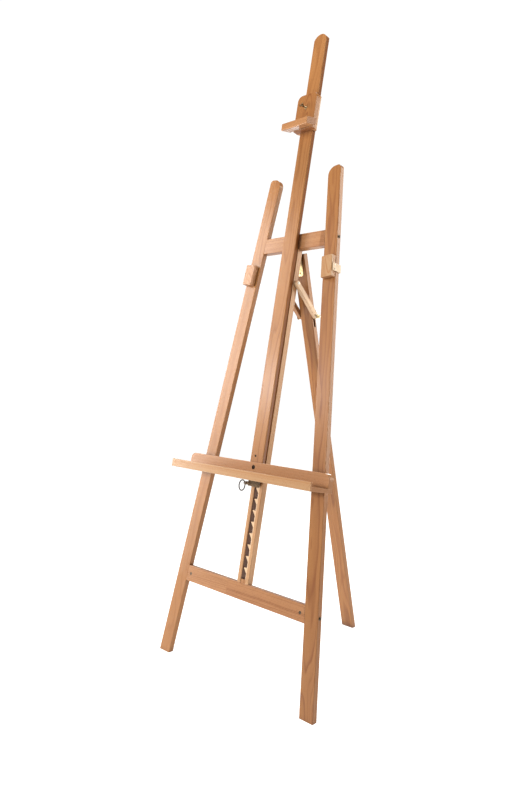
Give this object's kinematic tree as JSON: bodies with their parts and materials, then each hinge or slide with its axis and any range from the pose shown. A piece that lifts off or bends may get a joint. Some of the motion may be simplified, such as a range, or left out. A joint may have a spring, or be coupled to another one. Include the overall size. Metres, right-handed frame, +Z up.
{
  "type": "h frame easel",
  "caption": "Wooden studio easel: A-frame with a sliding mast on a slotted ratchet post, canvas tray, top holder, side pads, and a braced folding rear leg.",
  "frame": {"origin": "on the floor, at the middle of the footprint of the standing easel", "axes": "+Z up; the canvas side faces -Y; +X is the viewer's right when looking at the canvas side"},
  "size_m": [0.694, 0.6236, 2.0858],
  "materials": {
    "beech_frame": "oiled",
    "beech_mast": "oiled",
    "beech_tray": "oiled",
    "beech_fittings": "oiled",
    "beige_clip": "matte",
    "zinc_steel": "satin zinc",
    "dark_steel": "bronzed",
    "brass": "satin",
    "bronzed_steel": "bronzed"
  },
  "bodies": {
    "frame": {"left_leg": "beech_frame", "right_leg": "beech_frame", "lower_crossbar": "beech_frame", "upper_crossbar": "beech_frame", "crossbar_bolts": "zinc_steel", "barrel_nuts": "zinc_steel", "post_left_rail": "beech_frame", "post_right_rail": "beech_frame", "ratchet_rack": "beech_frame", "post_foot_block": "beech_frame", "post_top_block": "beech_frame", "post_screws": "zinc_steel", "brace_pivot_bolt": "zinc_steel", "hinge_upper_leaf": "brass", "hinge_upper_screws": "brass", "hinge_pin": "brass"},
    "mast": {"mast": "beech_mast", "tray_back_board": "beech_tray", "tray_shelf": "beech_tray", "tray_lip": "beech_tray", "tray_bolt": "dark_steel", "tray_bolt_nut": "zinc_steel", "tray_screws": "zinc_steel", "keeper_bolts": "zinc_steel", "keeper_plate": "zinc_steel", "keeper_nuts": "zinc_steel", "catch_bracket": "dark_steel", "catch_bracket_screws": "dark_steel", "catch_spring": "dark_steel"},
    "catch": {"catch_pawl": "dark_steel", "catch_eye": "dark_steel"},
    "ring": {"pull_ring": "dark_steel"},
    "holder": {"holder_plate": "beech_fittings", "holder_left_cheek": "beech_fittings", "holder_right_cheek": "beech_fittings", "holder_cheek_screws": "zinc_steel", "holder_ledge": "beech_fittings", "holder_ledge_screws": "zinc_steel", "holder_insert": "brass"},
    "holder_screw": {"holder_wing_screw": "bronzed_steel"},
    "left_pad": {"left_pad_front": "beech_fittings", "left_pad_back": "beech_fittings", "left_pad_clip": "beige_clip", "left_pad_screws": "zinc_steel"},
    "right_pad": {"right_pad_front": "beech_fittings", "right_pad_back": "beech_fittings", "right_pad_clip": "beige_clip", "right_pad_screws": "zinc_steel"},
    "rear_leg": {"rear_leg": "beech_frame", "hinge_lower_leaf": "brass", "hinge_lower_screws": "brass"},
    "brace": {"brace_left_arm": "beech_frame", "brace_right_arm": "beech_frame", "brace_slot_bolt": "zinc_steel", "brace_washers": "zinc_steel"},
    "wing_nut": {"brace_wing_nut": "brass"}
  },
  "joints": [
    {"name": "mast_lift", "type": "slide", "parent": "frame", "child": "mast", "axis": [0, 0.2135, 0.9769], "range_m": [-0.2888, 0.4332]},
    {"name": "catch_slide", "type": "slide", "parent": "mast", "child": "catch", "axis": [1, 0, 0], "range_m": [0, 0.012]},
    {"name": "ring_swing", "type": "hinge", "parent": "catch", "child": "ring", "pos_m": [-0.052, -0.18449, 0.59965], "axis": [0, 0.2135, 0.9769], "range_deg": [-2, 60]},
    {"name": "holder_slide", "type": "slide", "parent": "mast", "child": "holder", "axis": [0, 0.2135, 0.9769], "range_m": [-1.06, 0.19]},
    {"name": "holder_screw_turn", "type": "hinge", "parent": "holder", "child": "holder_screw", "pos_m": [0, 0.03179, 1.82933], "axis": [0, 0.9769, -0.2135], "continuous": true},
    {"name": "left_pad_slide", "type": "slide", "parent": "frame", "child": "left_pad", "axis": [0.1166, 0.2121, 0.9703], "range_m": [-0.55, 0.07]},
    {"name": "right_pad_slide", "type": "slide", "parent": "frame", "child": "right_pad", "axis": [-0.1166, 0.2121, 0.9703], "range_m": [-0.55, 0.07]},
    {"name": "rear_leg_fold", "type": "hinge", "parent": "frame", "child": "rear_leg", "pos_m": [0, 0.00862, 1.34869], "axis": [1, 0, 0], "range_deg": [-23.2, 1]},
    {"name": "brace_turn", "type": "hinge", "parent": "frame", "child": "brace", "pos_m": [0, -0.0305, 1.24465], "axis": [1, 0, 0], "range_deg": [-41.89, 2]},
    {"name": "wing_nut_turn", "type": "hinge", "parent": "brace", "child": "wing_nut", "pos_m": [0.047, 0.06283, 1.14164], "axis": [1, 0, 0], "continuous": true}
  ],
  "couplings": [
    {"joint": "brace_turn", "follows": "rear_leg_fold", "ratio": 1.797}
  ]
}
